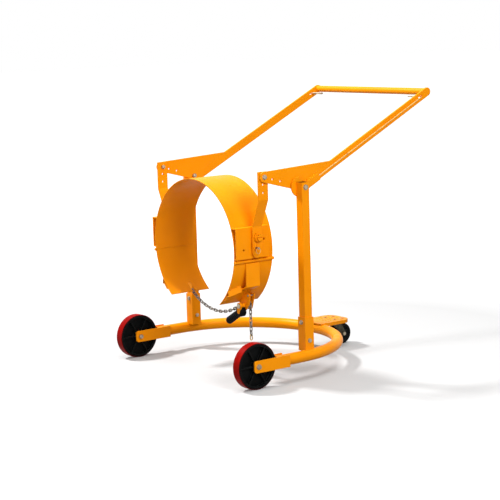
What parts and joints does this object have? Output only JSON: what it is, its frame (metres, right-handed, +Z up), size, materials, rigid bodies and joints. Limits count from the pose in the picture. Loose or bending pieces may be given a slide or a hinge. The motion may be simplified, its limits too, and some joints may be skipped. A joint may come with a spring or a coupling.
{
  "type": "drum carrier",
  "caption": "Wheeled drum carrier: horseshoe tube base, uprights, lift handle and a tilting band saddle whose hinged jaws and ratchet chain grip a steel drum to lift, move and pour it.",
  "frame": {"origin": "on the floor under the middle of the outline", "axes": "+Z up, -Y towards the front wheels and the pouring side, +X towards the side with the ratchet and the lock pin"},
  "size_m": [0.9388, 1.1525, 1.1685],
  "materials": {
    "orange_paint": "gloss",
    "zinc_steel": "satin",
    "chain_steel": "satin",
    "black_plastic": "matte",
    "black_grip": "matte",
    "red_tread": "satin",
    "black_tyre": "satin",
    "bush_bronze": "satin"
  },
  "bodies": {
    "base": {"base_tube": "orange_paint", "fork_plates": "orange_paint", "upright_sockets": "orange_paint", "uprights": "orange_paint", "latch_quadrants": "orange_paint", "socket_bolts": "zinc_steel", "pivot_bolts": "zinc_steel", "pivot_spacers": "zinc_steel", "wheel_axles": "zinc_steel", "step_plate": "orange_paint", "caster_plate": "zinc_steel", "caster_bolts": "zinc_steel"},
    "near_wheel": {"near_wheel_core": "black_plastic", "near_wheel_tread": "red_tread", "near_wheel_bush": "bush_bronze"},
    "far_wheel": {"far_wheel_core": "black_plastic", "far_wheel_tread": "red_tread", "far_wheel_bush": "bush_bronze"},
    "caster_swivel": {"caster_fork": "zinc_steel", "caster_axle": "zinc_steel"},
    "caster_roll": {"caster_wheel": "black_tyre"},
    "handle": {"near_handle_plate": "orange_paint", "far_handle_plate": "orange_paint", "near_arm": "orange_paint", "far_arm": "orange_paint", "cross_bar": "orange_paint", "guide_sleeves": "orange_paint", "tip_bolts": "zinc_steel"},
    "near_latch": {"near_latch_rod": "zinc_steel", "near_latch_grip": "black_grip"},
    "far_latch": {"far_latch_rod": "zinc_steel", "far_latch_grip": "black_grip"},
    "hanger": {"near_strap": "orange_paint", "far_strap": "orange_paint", "strap_bushes": "bush_bronze", "lock_barrel": "zinc_steel"},
    "lock": {"lock_pin": "zinc_steel", "pull_ring": "zinc_steel"},
    "holder": {"saddle_band": "orange_paint", "side_pads": "orange_paint", "trunnions": "zinc_steel", "trunnion_clips": "zinc_steel", "hinge_rods": "zinc_steel"},
    "near_jaw": {"near_jaw_shell": "orange_paint", "near_jaw_strip": "orange_paint", "near_jaw_bracket": "orange_paint", "ratchet_cheeks": "orange_paint", "ratchet_pins": "zinc_steel", "chain_wheel": "zinc_steel", "wrap_links": "chain_steel"},
    "lever": {"lever_arm": "orange_paint", "lever_grip": "black_grip"},
    "pawl": {"pawl": "orange_paint"},
    "tail": {"tail_chain": "chain_steel"},
    "far_jaw": {"far_jaw_shell": "orange_paint", "far_jaw_strip": "orange_paint", "far_jaw_bracket": "orange_paint", "chain_anchor": "orange_paint"},
    "chain": {"tension_chain": "chain_steel"}
  },
  "joints": [
    {"name": "near_wheel_spin", "type": "hinge", "parent": "base", "child": "near_wheel", "pos_m": [0.433, -0.48025, 0.096], "axis": [1, 0, 0], "continuous": true},
    {"name": "far_wheel_spin", "type": "hinge", "parent": "base", "child": "far_wheel", "pos_m": [-0.433, -0.48025, 0.096], "axis": [1, 0, 0], "continuous": true},
    {"name": "caster_turn", "type": "hinge", "parent": "base", "child": "caster_swivel", "pos_m": [0, 0.31175, 0.1], "axis": [0, 0, 1], "continuous": true},
    {"name": "caster_spin", "type": "hinge", "parent": "caster_swivel", "child": "caster_roll", "pos_m": [0, 0.35375, 0.048], "axis": [1, 0, 0], "continuous": true},
    {"name": "handle_lift", "type": "hinge", "parent": "base", "child": "handle", "pos_m": [0, -0.18425, 0.797], "axis": [-1, 0, 0], "range_deg": [-55, 0]},
    {"name": "near_latch_slide", "type": "slide", "parent": "handle", "child": "near_latch", "axis": [0, 0.895, 0.446], "range_m": [-0.012, 0.003]},
    {"name": "far_latch_slide", "type": "slide", "parent": "handle", "child": "far_latch", "axis": [0, 0.895, 0.446], "range_m": [-0.012, 0.003]},
    {"name": "hanger_swing", "type": "hinge", "parent": "handle", "child": "hanger", "pos_m": [0, -0.35825, 0.85], "axis": [1, 0, 0], "range_deg": [-55, 0]},
    {"name": "lock_slide", "type": "slide", "parent": "hanger", "child": "lock", "axis": [1, 0, 0], "range_m": [-0.011, 0.002]},
    {"name": "holder_tilt", "type": "hinge", "parent": "hanger", "child": "holder", "pos_m": [0, -0.35825, 0.599], "axis": [1, 0, 0], "range_deg": [-90, 30]},
    {"name": "near_jaw_open", "type": "hinge", "parent": "holder", "child": "near_jaw", "pos_m": [0.29035, -0.35825, 0.49919], "axis": [0, 1, 0], "range_deg": [-35, 0]},
    {"name": "far_jaw_open", "type": "hinge", "parent": "holder", "child": "far_jaw", "pos_m": [-0.29035, -0.35825, 0.49919], "axis": [0, -1, 0], "range_deg": [-35, 0]},
    {"name": "lever_swing", "type": "hinge", "parent": "near_jaw", "child": "lever", "pos_m": [0.21096, -0.37925, 0.30072], "axis": [0, 1, 0], "range_deg": [-60, 0]},
    {"name": "pawl_lift", "type": "hinge", "parent": "near_jaw", "child": "pawl", "pos_m": [0.23896, -0.34925, 0.34471], "axis": [0, -1, 0], "range_deg": [0, 35]},
    {"name": "tail_hang", "type": "hinge", "parent": "near_jaw", "child": "tail", "pos_m": [0.23096, -0.33925, 0.27812], "axis": [1, 0, 0], "range_deg": [-30, 90]},
    {"name": "chain_swing", "type": "hinge", "parent": "far_jaw", "child": "chain", "pos_m": [-0.18849, -0.33925, 0.31498], "axis": [0, 1, 0], "range_deg": [-21, 0]}
  ],
  "couplings": [
    {"joint": "hanger_swing", "follows": "handle_lift", "ratio": 1},
    {"joint": "tail_hang", "follows": "holder_tilt", "ratio": -1},
    {"joint": "chain_swing", "follows": "far_jaw_open", "ratio": 0.6}
  ]
}
